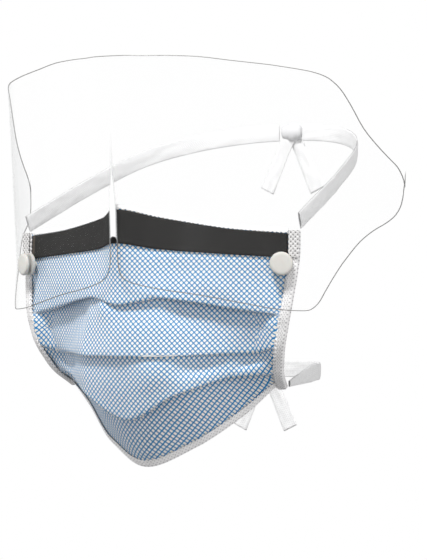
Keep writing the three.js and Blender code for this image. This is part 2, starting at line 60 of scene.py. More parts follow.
# Fold lines from the top edge to the hem: centre y z, shoulder x y z, hollow x y z and side
# x y z. x is a share of HALF_WIDTH, y of WRAP and z of DROP, downwards.
FOLDS = (
    ("top edge", 0, 0, 0.208, 0.291, 0.033, 0.625, 0.6, 0.077, 1, 0.86, 0.093),
    ("strip foot", -0.023, 0.14, 0.222, 0.198, 0.163, 0.639, 0.5, 0.183, 1, 0.849, 0.195),
    ("first panel", 0.007, 0.276, 0.264, 0.163, 0.268, 0.681, 0.512, 0.293, 0.979, 0.809, 0.305),
    ("first lip", 0, 0.377, 0.25, 0.112, 0.348, 0.653, 0.488, 0.386, 0.958, 0.756, 0.411),
    ("first tuck", 0.074, 0.353, 0.264, 0.209, 0.325, 0.75, 0.802, 0.37, 0.958, 0.767, 0.416),
    ("second panel", 0.012, 0.472, 0.292, 0.151, 0.463, 0.792, 0.86, 0.467, 0.933, 0.777, 0.476),
    ("second lip", 0, 0.577, 0.306, 0.112, 0.576, 0.764, 0.802, 0.557, 0.903, 0.795, 0.538),
    ("second tuck", 0.055, 0.554, 0.306, 0.178, 0.553, 0.75, 0.849, 0.537, 0.903, 0.807, 0.544),
    ("third panel", 0.115, 0.699, 0.333, 0.2, 0.659, 0.722, 0.837, 0.606, 0.869, 0.891, 0.589),
    ("third lip", 0.2, 0.825, 0.335, 0.225, 0.728, 0.597, 0.64, 0.657, 0.833, 0.984, 0.639),
    ("third tuck", 0.34, 0.765, 0.32, 0.39, 0.687, 0.597, 0.83, 0.636, 0.833, 0.998, 0.645),
    ("chin panel", 0.48, 0.9, 0.333, 0.6, 0.801, 0.611, 0.96, 0.707, 0.814, 1.093, 0.66),
    ("hem", 0.628, 1, 0.347, 0.814, 0.911, 0.611, 1.093, 0.785, 0.792, 1.186, 0.683),
)
ROW = {fold[0]: index for index, fold in enumerate(FOLDS)}
LAST_ROW = len(FOLDS) - 1
LIP_ROUND = 0.0009
CORNER_SHARE = 0.45  # the most of a side that a rounded corner takes
HALF_COLUMNS = 108
SEAM_COLUMNS = 2
SEAM_SHARE = 0.1  # the seam's width on the scale of columns
ROWS_PER_PANEL = 8
ROW_CROWDING = 0.05
FACET = 0.3  # how far the sections lie from a smooth curve towards straight facets
HALF_KNOTS = 3
EASE = 0.3
SECTION_KEYS = 4000
HAIR = 1e-6

# Fine unevenness of the cloth: how often it changes across and down the rows, its own seed
# and its height. The rows between which it and the dents come in and go out again.
UNEVEN = (
    {"across": 48, "row": 0.9, "seed": 3.1, "height": 0.00055},
    {"across": 150, "row": 2.3, "seed": 8.7, "height": 0.0002},
)
CREASES_IN = (1.0, 1.6)
CREASES_OUT = (11.4, 12.0)

# Creases and dents of the worn cloth: across in metres from the middle, row on the fold
# lines, half sizes along both, and height out of the cloth.
DENTS = (
    {"across": 0.066, "row": 4.9, "wide": 0.013, "tall": 1.0, "height": 0.0042},
    {"across": -0.066, "row": 4.9, "wide": 0.014, "tall": 1.1, "height": 0.005},
    {"across": 0.031, "row": 4.4, "wide": 0.012, "tall": 0.45, "height": -0.0022},
    {"across": 0.013, "row": 3.05, "wide": 0.006, "tall": 0.5, "height": 0.001},
    {"across": -0.009, "row": 4.35, "wide": 0.006, "tall": 0.4, "height": 0.0021},
    {"across": -0.03, "row": 4.7, "wide": 0.006, "tall": 0.7, "height": -0.0014},
    {"across": 0.016, "row": 7.7, "wide": 0.009, "tall": 0.5, "height": 0.0017},
    {"across": 0.037, "row": 7.7, "wide": 0.011, "tall": 0.4, "height": -0.002},
    {"across": 0.057, "row": 8.4, "wide": 0.008, "tall": 0.4, "height": 0.001},
    {"across": 0.062, "row": 5.5, "wide": 0.004, "tall": 0.5, "height": -0.0008},
    {"across": 0.054, "row": 7.6, "wide": 0.004, "tall": 0.5, "height": 0.0009},
    {"across": -0.03, "row": 5.4, "wide": 0.008, "tall": 0.6, "height": 0.0009},
    {"across": -0.05, "row": 7.4, "wide": 0.008, "tall": 0.5, "height": -0.0012},
    {"across": 0.0, "row": 11.4, "wide": 0.02, "tall": 0.8, "height": 0.0008},
    {"across": 0.03, "row": 1.7, "wide": 0.012, "tall": 0.5, "height": -0.0006},
    {"across": 0.05, "row": 2.3, "wide": 0.01, "tall": 0.5, "height": 0.0006},
)

# Sizes of the tapes and ties.
BINDING_WIDTH = 0.0056
BINDING_PLY = 0.0005
CHANNEL = 0.00195
BINDING_INSET = 0.0003
BINDING_RISE = 0.0003
BINDING_FOOT = 0.002
FLARE_TOP = 16
FLARE_FOOT = 30
SCALLOP = 0.00035
SCALLOP_PITCH = 0.0021
PATCH_PITCH = 0.0022
PATCH_PRESS = 0.00008
PATCH_INSET = 0.0003
PATCH_ROOM = 0.0002
TAPE_PINCH = 0.62
TAPE_BULGE = 0.75
TAPE_LEG_SHARE = 0.42
TAPE_RIPPLE = {"along": 90, "round": 3, "height": 0.00035}
TOP_TAPE_LEG = 0.0009
HEM_TAPE_LEG = 0.0028
FLAT_LEGS = 2.4  # the width of a folded tape laid flat, in legs
TURN_FROM = 0.4
TURN_TO = 0.6
TAPE_PLY_SHARE = 0.8
VISIBLE = 0.995
STRIP_PLY = 0.0006
STRIP_PLY_SHARE = 0.9
STRIP_FOOT_ROW = 0.998
STRIP_FLAT = 0.017
STRIP_RIPPLE = {"across": 30, "down": 2, "seed": 5.0, "height": 0.00012}
TIE_WIDTH = 0.0085
TIE_PLY = 0.0006
TIE_ROUND = 0.55
TIE_PUFF = 0.62
TIE_STEP = 0.00022
TIE_STEP_AT = (0.2, 0.36)
TIE_RIPPLE = {"along": 110, "across": 1.5, "height": 0.0002}
TIE_GATHER = 0.35
TIE_SPREAD = 2
CROWN_HALF_WIDTH = 0.071
CROWN_HALF_DEPTH = 0.092
CROWN_CENTRE_Y = 0.0815
CROWN_RISE = 0.05
CROWN_STEPS = ((95, 0.42), (120, 0.72), (140, 0.88), (160, 0.97), (180, 1))
NECK_RADIUS = 0.053
NECK_CENTRE_Y = 0.091
NECK_DROP = 0.08
NECK_STEPS = (100, 120, 140, 160, 180)
KNOT = Vector((0.013, 0.007, 0.01))
KNOT_PLAY = 0.0007
KNOT_WRAPS = 2.6
KNOT_SLANT = 0.08
KNOT_GROOVE = 0.05
KNOT_SHARE = 0.97
KNOT_TAIL = 0.034
KNOT_TAIL_SPREAD = 0.016
TAIL_NARROW = 0.8
TAIL_PUFF = 0.8
TAIL_SHIFT = 1.5
TAIL_RIPPLE = {"along": 3, "across": 2, "seed": 4.0, "height": 0.0006}

# Columns and rows of the grids.
STRIP_GRID = (160, 14)
NARROW_TAPE_GRID = (260, 20)
SIDE_TAPE_GRID = (200, 34)
PATCH_GRID = (40, 80)
TIE_GRID = (180, 28)
TAIL_GRID = (40, 20)
KNOT_GRID = (48, 32)
PATH_STEPS = 240
HOLE_SIDES = 60

# Sizes of the film.
HALF_ARC = 0.1485
FILM_RISE = 0.071
FILM_FALL = 0.049
FILM_PLY = 0.0004
FILM_EDGE = 0.00034
STAND_OFF = 0.0032
TENT = 21
TENT_ROUND = 0.01
BEND_OFFSET = 0.003
BEND_RADIUS = 0.034
LOBE_RADIUS = 0.23
LOBE_FROM = 60
LEAN = 0.05
NOTCH_HALF = 0.0018
NOTCH_TOP = 0.0142
NOTCH_FALL = 0.022
NOTCH_FLARE = 0.0122
NOTCH_TURNS = range(0, 91, 10)
FILM_LEVELS = 40
FILM_SPANS = 3
FILM_STEP = 0.0005

# Half the film's outline: along as a share of HALF_ARC, top of FILM_RISE, foot of FILM_FALL.
FILM_EDGE_TABLE = (
    (0.05, 1, -0.72), (0.095, 0.997, -0.76), (0.163, 0.997, -0.8), (0.272, 0.989, -0.847),
    (0.374, 0.963, -0.904), (0.446, 0.946, -0.945), (0.51, 0.93, -0.98), (0.599, 0.899, -1),
    (0.626, 0.887, -0.99), (0.653, 0.87, -0.929), (0.68, 0.845, -0.812), (0.721, 0.782, -0.645),
    (0.762, 0.68, -0.5), (0.816, 0.528, -0.333), (0.871, 0.423, -0.224), (0.925, 0.338, -0.147),
    (0.966, 0.277, -0.065), (0.99, 0.214, 0.031), (1, 0.165, 0.17),
)  # fmt: skip
NOTCH_TABLE = ((0.17, 0.5), (0.25, 0.68), (0.34, 0.77))

# Sizes of the button rivets.
RIVET_RADIUS = 0.0055
CAP_HEIGHT = 0.002
WASHER_HEIGHT = 0.0016
FOOT_HEIGHT = 0.001
POST_RADIUS = 0.0013
FILM_PLAY = 0.0005
CAD_FILM_PLY = 0.0005
CAD_PLY = 0.0006
RIVET_DROP = 0.0268
SEAT_ROOM = 0.0006
CAP_BEVEL = 0.0004
CAP_RIM = 0.0005
CAP_DOME = ((0, 0.0009), (0.0004, 0.0003), (0.0013, 0.00008))  # in from rim, down
CAP_FLAT = 0.0015
WASHER_START = 0.0004
FOOT_BEVEL = 0.0003
TURNED_ROUND = 0.0003
ROUND_STEPS = 4
SPIN_STEPS = 72


# Small helpers.
def place(x, y, z):
    return Vector((x * HALF_WIDTH, y * WRAP, -z * DROP))


def mirrored(point):
    return Vector((-point.x, point.y, point.z))


def smooth(low, high, value):
    t = min(max((value - low) / (high - low), 0.0), 1.0)
    return t * t * (3 - 2 * t)


def catmull(points, t):
    """A point of the centripetal Catmull-Rom curve through the points, t from 0 to 1."""
    last = len(points) - 1
    at = min(max(t, 0.0), 1.0) * last
    i = min(int(at), last - 1)
    w = at - i
    p1, p2 = points[i], points[i + 1]
    p0 = points[i - 1] if i > 0 else p1 * 2 - p2
    p3 = points[i + 2] if i + 2 <= last else p2 * 2 - p1
    d0, d1, d2 = ((b - a).length ** 0.5 for a, b in ((p0, p1), (p1, p2), (p2, p3)))
    d1 = max(d1, HAIR)
    d0, d2 = d0 or d1, d2 or d1
    m1 = ((p1 - p0) / d0 - (p2 - p0) / (d0 + d1) + (p2 - p1) / d1) * d1
    m2 = ((p2 - p1) / d1 - (p3 - p1) / (d1 + d2) + (p3 - p2) / d2) * d1
    c2 = (p2 - p1) * 3 - m1 * 2 - m2
    c3 = (p1 - p2) * 2 + m1 + m2
    return p1 + m1 * w + c2 * w * w + c3 * w * w * w


class Path:
    """A curve through points, measured by its length."""

    def __init__(self, points):
        self.points = [catmull(points, k / PATH_STEPS) for k in range(PATH_STEPS + 1)]
        self.lengths = [0.0]
        for a, b in zip(self.points, self.points[1:]):
            self.lengths.append(self.lengths[-1] + (b - a).length)
        self.length = self.lengths[-1]

    def at(self, share):
        goal = min(max(share, 0.0), 1.0) * self.length
        low, high = 0, len(self.lengths) - 1
        while high - low > 1:
            mid = (low + high) // 2
            low, high = (mid, high) if self.lengths[mid] <= goal else (low, mid)
        span = self.lengths[high] - self.lengths[low]
        return self.points[low].lerp(self.points[high], (goal - self.lengths[low]) / span)

    def along(self, share, step=0.004):
        return (self.at(min(share + step, 1)) - self.at(max(share - step, 0))).normalized()


def piece_from(bm, name, materials, smooth_faces=True):
    """A finished object from a bmesh, with its materials."""
    mesh = bpy.data.meshes.new(name)
    bm.to_mesh(mesh)
    bm.free()
    for m in materials:
        mesh.materials.append(m)
    for face in mesh.polygons:
        face.use_smooth = smooth_faces
    thing = bpy.data.objects.new(name, mesh)
    bpy.context.scene.collection.objects.link(thing)
    return thing


def laid_grid(columns, rows, at, flat):
    """A grid whose vertices are placed by at(u, v), u and v from 0 to 1, with its UV map from
    flat(u, v). Returns the bmesh and each vertex's u and v."""
    bm = bmesh.new()
    uv = bm.loops.layers.uv.new("flat")
    bmesh.ops.create_grid(bm, x_segments=columns, y_segments=rows, size=0.5, calc_uvs=True)
    shares = {v: (v.co.x + 0.5, v.co.y + 0.5) for v in bm.verts}
    for face in bm.faces:
        for loop in face.loops:
            loop[uv].uv = flat(*shares[loop.vert])
    for vert, (u, v) in shares.items():
        vert.co = at(min(max(u, 0.0), 1.0), min(max(v, 0.0), 1.0))
    bm.normal_update()
    return bm, shares


def ease(bm, verts):
    """Softens small steps in a worn cloth."""
    bmesh.ops.smooth_vert(
        bm, verts=verts, factor=EASE, use_axis_x=True, use_axis_y=True, use_axis_z=True
    )


def facing_front(bm):
    """Turns the faces so that they look out of the mask."""
    if sum(face.normal.y for face in bm.faces) > 0:
        bmesh.ops.reverse_faces(bm, faces=bm.faces)
        bm.normal_update()


def closed(bm):
    """Joins the meeting edges of a rolled grid and fills its two ends."""
    bmesh.ops.remove_doubles(bm, verts=bm.verts, dist=HAIR)
    bmesh.ops.holes_fill(bm, edges=bm.edges, sides=HOLE_SIDES)


def thicken(thing, ply, inner=0):
    """A wall of the ply's thickness, half of it on each side, inner being its back material."""
    wall = thing.modifiers.new("ply", "SOLIDIFY")
    wall.thickness = ply
    wall.offset = 0.0
    wall.use_even_offset = False
    wall.thickness_clamp = 0.0
    wall.material_offset = inner


def finish_piece(thing, slot, *nodes):
    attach(thing, "root")
    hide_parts(*nodes)
    return thing


# Camera, light and floor.
EYE_HEIGHT = -0.0344
EYE_DISTANCE = 1.36
TURN_AXIS_Y = 0.087
EYE_SIDE = 0.00175
EYE_TURN = math.radians(30)
LENS = 174.86
SENSOR = 36
CLIP_START = 0.05

WORLD_BAND = (0.12, 0.22, 1.0, 0.15)  # heights from and to, strengths below and above
FLOOR_RADIUS = 1.1
FLOOR_SIDES = 96
FLOOR_PLACE = (0, 0.05, -0.3)
LIGHT_COLUMNS = ("name", "at", "towards", "size", "power")
LIGHTS = (
    ("window_light", (0.1, -1.0, 1.6), (0, 0.02, -0.05), (0.4, 0.4), 41),
    ("side_fill", (-1.3, -0.3, 0.25), (0, 0.03, -0.05), (0.6, 0.8), 5),
    ("front_fill", (1.0, -0.9, 0.35), (0, 0.03, -0.05), (0.6, 0.6), 4),
    ("tie_fill", (1.3, 0.35, 0.3), (0.06, 0.12, 0), (0.6, 0.6), 5),
)


def make_camera():
    data = bpy.data.cameras.new("portrait")
    data.lens = LENS
    data.sensor_width = SENSOR
    data.clip_start = CLIP_START
    camera = bpy.data.objects.new("portrait", data)
    bpy.context.scene.collection.objects.link(camera)
    back = Vector((math.sin(EYE_TURN), -math.cos(EYE_TURN), 0))
    side = Vector((math.cos(EYE_TURN), math.sin(EYE_TURN), 0))
    centre = Vector((0, TURN_AXIS_Y, EYE_HEIGHT))
    camera.location = centre + back * EYE_DISTANCE + side * EYE_SIDE
    camera.rotation_mode = "QUATERNION"
    camera.rotation_quaternion = (-back).to_track_quat("-Z", "Y")
    bpy.context.scene.camera = camera


def softbox(name, at, towards, size, power):
    data = bpy.data.lights.new(name, "AREA")
    data.shape = "RECTANGLE"
    data.size, data.size_y = size
    data.energy = power
    lamp = bpy.data.objects.new(name, data)
    bpy.context.scene.collection.objects.link(lamp)
    lamp.location = at
    lamp.rotation_mode = "QUATERNION"
    lamp.rotation_quaternion = (Vector(towards) - Vector(at)).to_track_quat("-Z", "Y")


def make_studio():
    world = bpy.data.worlds.new("studio")
    bpy.context.scene.world = world
    world.use_nodes = True
    nodes, links = world.node_tree.nodes, world.node_tree.links
    height = nodes.new("ShaderNodeSeparateXYZ")
    band = nodes.new("ShaderNodeMapRange")
    band.interpolation_type = "SMOOTHSTEP"
    links.new(nodes.new("ShaderNodeTexCoord").outputs["Generated"], height.inputs[0])
    links.new(height.outputs["Z"], band.inputs["Value"])
    for socket, number in zip(list(band.inputs)[1:5], WORLD_BAND):
        socket.default_value = number
    back = nodes["Background"]
    links.new(band.outputs["Result"], back.inputs["Strength"])
    back.inputs["Color"].default_value = (1, 1, 1, 1)
    for light in LIGHTS:
        softbox(**dict(zip(LIGHT_COLUMNS, light)))
    bpy.context.scene.view_settings.view_transform = "Standard"

    bm = bmesh.new()
    bmesh.ops.create_circle(bm, cap_ends=True, segments=FLOOR_SIDES, radius=FLOOR_RADIUS)
    bmesh.ops.translate(bm, verts=bm.verts, vec=FLOOR_PLACE)
    floor = piece_from(bm, "floor_sheet", [floor_paint()], False)


# Materials.
TINTS = {
    "floor": ((0.24, 0.24, 0.24), (0.28, 0.28, 0.285)),
    "cell": ((0.85, 0.79, 0.7), (0.91, 0.85, 0.76)),
    "print": ((0.001, 0.19, 0.47), (0.008, 0.275, 0.58)),
    "lining": ((0.74, 0.74, 0.735), (0.85, 0.85, 0.845)),
    "felt": ((0.012, 0.0115, 0.011), (0.024, 0.023, 0.022)),
    # film: its clear grey, then the white of the painted highlight above the notch
    "film": ((0.6, 0.62, 0.63), (0.99, 0.99, 0.98)),
    "film edge": ((0.16, 0.155, 0.15), (0.24, 0.235, 0.23)),
    "button": ((0.54, 0.53, 0.5), (0.61, 0.6, 0.565)),
}
# The noises in the materials: scale, detail and roughness.
GRAIN = {
    "floor": (60, 4, 0.5),
    "print wander": (90, 2, 0.5),
    "cloth fibres": (2600, 3, 0.6),
    "cloth cloud": (160, 3, 0.5),
    "lining fibres": (2200, 3, 0.6),
    "felt fibres": (2400, 4, 0.65),
    "felt cloud": (260, 2, 0.5),
    "tape fibres": (2400, 3, 0.6),
    "tape cloud": (520, 2, 0.5),
    "film haze": (40, 2, 0.5),
    "film edge": (500, 2, 0.5),
    "button cloud": (500, 3, 0.5),
    "button speck": (3500, 2, 0.5),
}
LINING_DOTS = 700.0
CROSS_BLUE = (0.001, 0.12, 0.37)
FELT_CLOUD = (0.035, 0.033, 0.032)
# The lighter brown at the felt's right end as worn is a painted reflection of the film in front
# of it.
FELT_END_REFLECTION = (0.075, 0.062, 0.052)
FELT_END_REFLECTION_AT = (-0.0795, -0.0802)
BUTTON_SPECK = (0.5, 0.485, 0.45)
LINE_PITCH = 0.00255  # across a diamond, corner to corner
LINE_WIDTH = 0.00055
LINE_SOFT = 0.00012
PRINT_WANDER = 0.0005
PRINT_RELIEF = 0.00008
FILM_SEEN = (0.45, 1.0, 0.008, 0.3)  # facing from and to, and how much is seen there
FILM_HAZE = (0.5, 0.9, 0, 0.01)
# The white band on the film above the notch is a painted highlight: the reflection of the lamps
# where the film bends.
GLARE_NARROWS = (-0.004, 0.022, 0.0016, 0.0003)  # heights from and to, half widths there
GLARE_FADES = (0.036, 0.008, 0, 0.9)  # heights from and to, and its strength there
GLARE_SOFT = 0.0007

# The white tapes: colours between the points and in them, and the points' pitch and depth.
TAPE_LOOKS = {
    "tape": {
        "name": "white_point_bonded_tape",
        "low": (0.74, 0.73, 0.73),
        "high": (0.97, 0.96, 0.96),
        "dimple": (0.38, 0.37, 0.38),
        "pitch": 0.0019,
        "depth": 0.0003,
    },
    # The hem tape is the same white tape painted lighter: painted fill light on the hem, which
    # faces down.
    "hem": {
        "name": "white_hem_tape_painted_light",
        "low": (0.9, 0.89, 0.89),
        "high": (1.0, 0.99, 0.99),
        "dimple": (0.6, 0.59, 0.6),
        "pitch": 0.0019,
        "depth": 0.0002,
    },
    "patch": {
        "name": "welded_patch",
        "low": (0.52, 0.51, 0.505),
        "high": (0.76, 0.75, 0.745),
        "dimple": (0.04, 0.038, 0.04),
        "pitch": PATCH_PITCH,
        "depth": 0.0003,
    },
    "tie": {
        "name": "soft_tie_tape",
        "low": (0.8, 0.8, 0.8),
        "high": (0.92, 0.92, 0.92),
        "dimple": (0.66, 0.66, 0.67),
        "pitch": 0.0012,
        "depth": 0.00012,
    },
}


class Finish:
    """A material's nodes, added one after another."""

    def __init__(self, name):
        self.material = bpy.data.materials.new(name)
        self.material.use_nodes = True
        self.tree = self.material.node_tree
        self.shader = self.tree.nodes["Principled BSDF"]

    def node(self, kind, **sockets):
        made = self.tree.nodes.new("ShaderNode" + kind)
        for key, value in sockets.items():
            self.put(made.inputs[key.replace("_", " ")], value)
        return made

    def put(self, socket, value):
        if isinstance(value, bpy.types.NodeSocket):
            self.tree.links.new(value, socket)
        elif isinstance(value, tuple) and len(value) == 3 and socket.type == "RGBA":
            socket.default_value = (*value, 1)
        else:
            socket.default_value = value

    def math(self, operation, first, second=0.0):
        made = self.tree.nodes.new("ShaderNodeMath")
        made.operation = operation
        for socket, value in zip(made.inputs, (first, second)):
            self.put(socket, value)
        return made.outputs[0]

    def ramp(self, value, low, high, to_low=0.0, to_high=1.0):
        made = self.tree.nodes.new("ShaderNodeMapRange")
        made.interpolation_type = "SMOOTHSTEP"
        for socket, number in zip(made.inputs, (value, low, high, to_low, to_high)):
            self.put(socket, number)
        return made.outputs[0]

    def mix(self, share, first, second):
        made = self.tree.nodes.new("ShaderNodeMix")
        made.data_type = "RGBA"
        self.put(made.inputs["Factor"], share)
        self.put(made.inputs["A"], first)
        self.put(made.inputs["B"], second)
        return made.outputs["Result"]

    def noise(self, place_on, grain):
        scale, detail, rough = GRAIN[grain]
        made = self.node("TexNoise", Vector=place_on, Scale=scale, Detail=detail, Roughness=rough)
        return made.outputs["Fac"]

    def uv(self):
        return self.node("TexCoord").outputs["UV"]

    def object(self):
        return self.node("TexCoord").outputs["Object"]

    def split(self, vector):
        made = self.node("SeparateXYZ", Vector=vector)
        return made.outputs["X"], made.outputs["Y"]

    def stretched(self, vector, scale):
        return self.node("Mapping", Vector=vector, Scale=scale).outputs["Vector"]

    def bump(self, height, distance, strength=1.0):
        made = self.node("Bump", Height=height, Distance=distance, Strength=strength)
        self.put(self.shader.inputs["Normal"], made.outputs["Normal"])

    def set(self, **sockets):
        for key, value in sockets.items():
            self.put(self.shader.inputs[key.replace("_", " ")], value)
        return self.material


def floor_paint():
    f = Finish("pale_floor_paint")
    grain = f.noise(f.object(), "floor")
    colour = f.mix(grain, *TINTS["floor"])
    f.bump(grain, 0.0005, 0.3)
    return f.set(Base_Color=colour, Roughness=0.8)


def printed_lines(f):
    """The crosshatch on the cloth's own flat place: how much of a line is here, and where two
    lines cross."""
    x, y = f.split(f.uv())
    wander = f.noise(f.uv(), "print wander")
    shift = f.math("MULTIPLY", f.math("SUBTRACT", wander, 0.5), PRINT_WANDER)
    lines = []
    for sign in ("ADD", "SUBTRACT"):
        run = f.math("ADD", f.math(sign, x, y), shift)
        far = f.math("PINGPONG", run, LINE_PITCH / 2)
        wide = LINE_WIDTH / math.sqrt(2)
        lines.append(f.ramp(far, wide + LINE_SOFT, wide - LINE_SOFT))
    both = f.math("MAXIMUM", *lines)
    cross = f.math("MULTIPLY", *lines)
    return both, cross


def printed_cloth():
    f = Finish("printed_nonwoven")
    line, cross = printed_lines(f)
    fibres = f.noise(f.uv(), "cloth fibres")
    cloud = f.noise(f.uv(), "cloth cloud")
    cell = f.mix(cloud, *TINTS["cell"])
    print_blue = f.mix(fibres, *TINTS["print"])
    colour = f.mix(line, cell, print_blue)
    colour = f.mix(f.math("MULTIPLY", cross, 0.6), colour, CROSS_BLUE)
    height = f.math("SUBTRACT", f.math("MULTIPLY", fibres, 0.35), f.math("MULTIPLY", line, 0.65))
    f.bump(height, PRINT_RELIEF, 0.7)
    return f.set(
        Base_Color=colour,
        Roughness=f.ramp(fibres, 0.2, 0.8, 0.82, 0.95),
        Sheen_Weight=0.08,
        Sheen_Roughness=0.5,
    )


def lining():
    f = Finish("white_lining")
    fibres = f.noise(f.uv(), "lining fibres")
    dots = f.node("TexVoronoi", Vector=f.uv(), Scale=LINING_DOTS).outputs["Distance"]
    colour = f.mix(fibres, *TINTS["lining"])
    f.bump(f.math("ADD", f.ramp(dots, 0.1, 0.5), f.math("MULTIPLY", fibres, 0.4)), 0.0001, 0.6)
    return f.set(Base_Color=colour, Roughness=0.9)


def felt():
    f = Finish("black_glare_felt")
    x, _ = f.split(f.uv())
    fibres = f.noise(f.stretched(f.uv(), (0.35, 1.0, 1.0)), "felt fibres")
    cloud = f.noise(f.stretched(f.uv(), (0.3, 1.0, 1.0)), "felt cloud")
    colour = f.mix(fibres, *TINTS["felt"])
    colour = f.mix(f.ramp(cloud, 0.55, 0.8, 0, 0.3), colour, FELT_CLOUD)
    # Painted reflection of the film on the felt's right end.
    colour = f.mix(f.ramp(x, *FELT_END_REFLECTION_AT), colour, FELT_END_REFLECTION)
    f.bump(fibres, 0.00003, 0.3)
    return f.set(Base_Color=colour, Roughness=0.95, Specular_IOR_Level=0.2)


def point_bonded(name, low, high, dimple, pitch, depth):
    """White nonwoven tape with its pattern of small weld points."""
    f = Finish(name)
    x, y = f.split(f.uv())
    waves = []
    for sign in ("ADD", "SUBTRACT"):
        run = f.math(sign, x, y)
        waves.append(f.math("PINGPONG", run, pitch / 2))
    near = f.math("MULTIPLY", f.math("ADD", *waves), 1 / pitch)
    point = f.ramp(near, 0.42, 0.2)
    fibres = f.noise(f.uv(), "tape fibres")
    cloud = f.ramp(f.noise(f.uv(), "tape cloud"), 0.3, 0.7)
    colour = f.mix(f.math("MULTIPLY", f.math("ADD", fibres, cloud), 0.5), low, high)
    colour = f.mix(f.math("MULTIPLY", point, 0.8), colour, dimple)
    height = f.math("SUBTRACT", f.math("MULTIPLY", fibres, 0.3), point)
    f.bump(height, depth, 0.8)
    return f.set(Base_Color=colour, Roughness=f.ramp(point, 0, 1, 0.92, 0.7), Sheen_Weight=0.05)


def clear_film():
    f = Finish("clear_film")
    x, y = f.split(f.uv())
    facing = f.node("LayerWeight", Blend=0.35).outputs["Facing"]
    haze = f.noise(f.stretched(f.uv(), (1.0, 0.3, 1.0)), "film haze")
    see = f.ramp(facing, *FILM_SEEN)
    see = f.math("ADD", see, f.ramp(haze, *FILM_HAZE))
    # The painted highlight: a white band above the notch, narrowing and fading upwards.
    wide = f.ramp(y, *GLARE_NARROWS)
    inside = f.math("SUBTRACT", wide, f.math("ABSOLUTE", x))
    across = f.ramp(inside, -GLARE_SOFT, GLARE_SOFT)
    painted_glare = f.math("MULTIPLY", across, f.ramp(y, *GLARE_FADES))
    alpha = f.math("MINIMUM", f.math("ADD", see, painted_glare), 0.98)
    colour = f.mix(painted_glare, *TINTS["film"])
    return f.set(
        Base_Color=colour,
        Alpha=alpha,
        Roughness=f.ramp(painted_glare, 0, 1, 0.12, 0.4),
        Specular_IOR_Level=0.3,
    )


def film_edge():
    f = Finish("film_cut_edge")
    grain = f.noise(f.uv(), "film edge")
    colour = f.mix(grain, *TINTS["film edge"])
    return f.set(Base_Color=colour, Alpha=0.8, Roughness=0.3)


def button_plastic():
    f = Finish("button_plastic")
    cloud = f.noise(f.object(), "button cloud")
    speck = f.noise(f.object(), "button speck")
    colour = f.mix(cloud, *TINTS["button"])
    colour = f.mix(f.ramp(speck, 0.6, 0.75, 0, 0.25), colour, BUTTON_SPECK)
    f.bump(f.math("ADD", cloud, f.math("MULTIPLY", speck, 0.3)), 0.0001, 0.35)
    return f.set(
        Base_Color=colour,
        Roughness=f.ramp(cloud, 0.2, 0.8, 0.38, 0.55),
        Subsurface_Weight=0.08,
        Subsurface_Scale=0.001,
    )


# The cloth body.
def fold_knots(fold):
    _, cy, cz, sx, sy, sz, kx, ky, kz, ex, ey, ez = fold
    right = [place(sx, sy, sz), place(kx, ky, kz), place(ex, ey, ez)]
    return [mirrored(p) for p in reversed(right)] + [place(0, cy, cz)] + right


KNOTS = [fold_knots(fold) for fold in FOLDS]
SIDE_POINTS = [knots[-1] for knots in KNOTS]


def flare(side_point):
    """The direction in which the side tape stands out from the cloth."""
    share = min(max(side_point.z / SIDE_POINTS[-1].z, 0.0), 1.0)
    turn = math.radians(FLARE_TOP + (FLARE_FOOT - FLARE_TOP) * share)
    return Vector((math.cos(turn), math.sin(turn), 0))


def fold_line(knots):
    """Half of a fold line from the middle to the side, finely divided."""
    line = []
    for k in range(HALF_COLUMNS + 1):
        share = k / HALF_COLUMNS
        curve = catmull(knots, 0.5 + 0.5 * share)
        at = share * HALF_KNOTS
        i = HALF_KNOTS + min(int(at), HALF_KNOTS - 1)
        straight = knots[i].lerp(knots[i + 1], at + HALF_KNOTS - i)
        line.append(curve.lerp(straight, FACET * smooth(0, 1, at)))
    line.append(knots[-1] + flare(knots[-1]) * SEAM)
    return line


LINES = [fold_line(knots) for knots in KNOTS]


def measured(line):
    lengths = [0.0]
    for a, b in zip(line, line[1:]):
        lengths.append(lengths[-1] + (b - a).length)
    return lengths


ACROSS = [measured(line) for line in LINES]


def on_line(row, column):
    """A point of a fold line. column runs to 1 at the side and 1.1 at the seam's edge."""
    size = abs(column)
    if size <= 1:
        at = size * HALF_COLUMNS
        k = min(int(at), HALF_COLUMNS - 1)
        w = at - k
    else:
        k, w = HALF_COLUMNS, min((size - 1) / SEAM_SHARE, 1.0)
    point = LINES[row][k].lerp(LINES[row][k + 1], w)
    length = ACROSS[row][k] * (1 - w) + ACROSS[row][k + 1] * w
    return (mirrored(point), -length) if column < 0 else (point, length)


PLEAT_DEPTH = 0.011  # the flat cloth that each pleat hides
PANELS = (range(0, 4), range(4, 7), range(7, 10), range(10, 13))


def around(line, x):
    """How far round the worn cloth a fold line has run, seen from above, where it reaches x."""
    length = 0.0
    for a, b in zip(line, line[1:]):
        if b.x >= x:
            return length + (b - a).xy.length * (x - a.x) / (b.x - a.x)
        length += (b - a).xy.length
    return length + x - line[-1].x


def flat_place(row, column):
    """Where a fold line's point lies on the flat cloth, whose print stays upright when worn."""
    point = on_line(row, column)[0]
    panel = next(k for k, rows in enumerate(PANELS) if row in rows)
    lengths = [around(LINES[r], abs(point.x)) for r in PANELS[panel]]
    across = math.copysign(sum(lengths) / len(lengths), column)
    return across, point.z - PLEAT_DEPTH * panel


def section(column):
    """The fold points down a column, with their flat places."""
    rows = range(LAST_ROW + 1)
    return [on_line(row, column)[0] for row in rows], [flat_place(row, column) for row in rows]


SECTIONS = {}


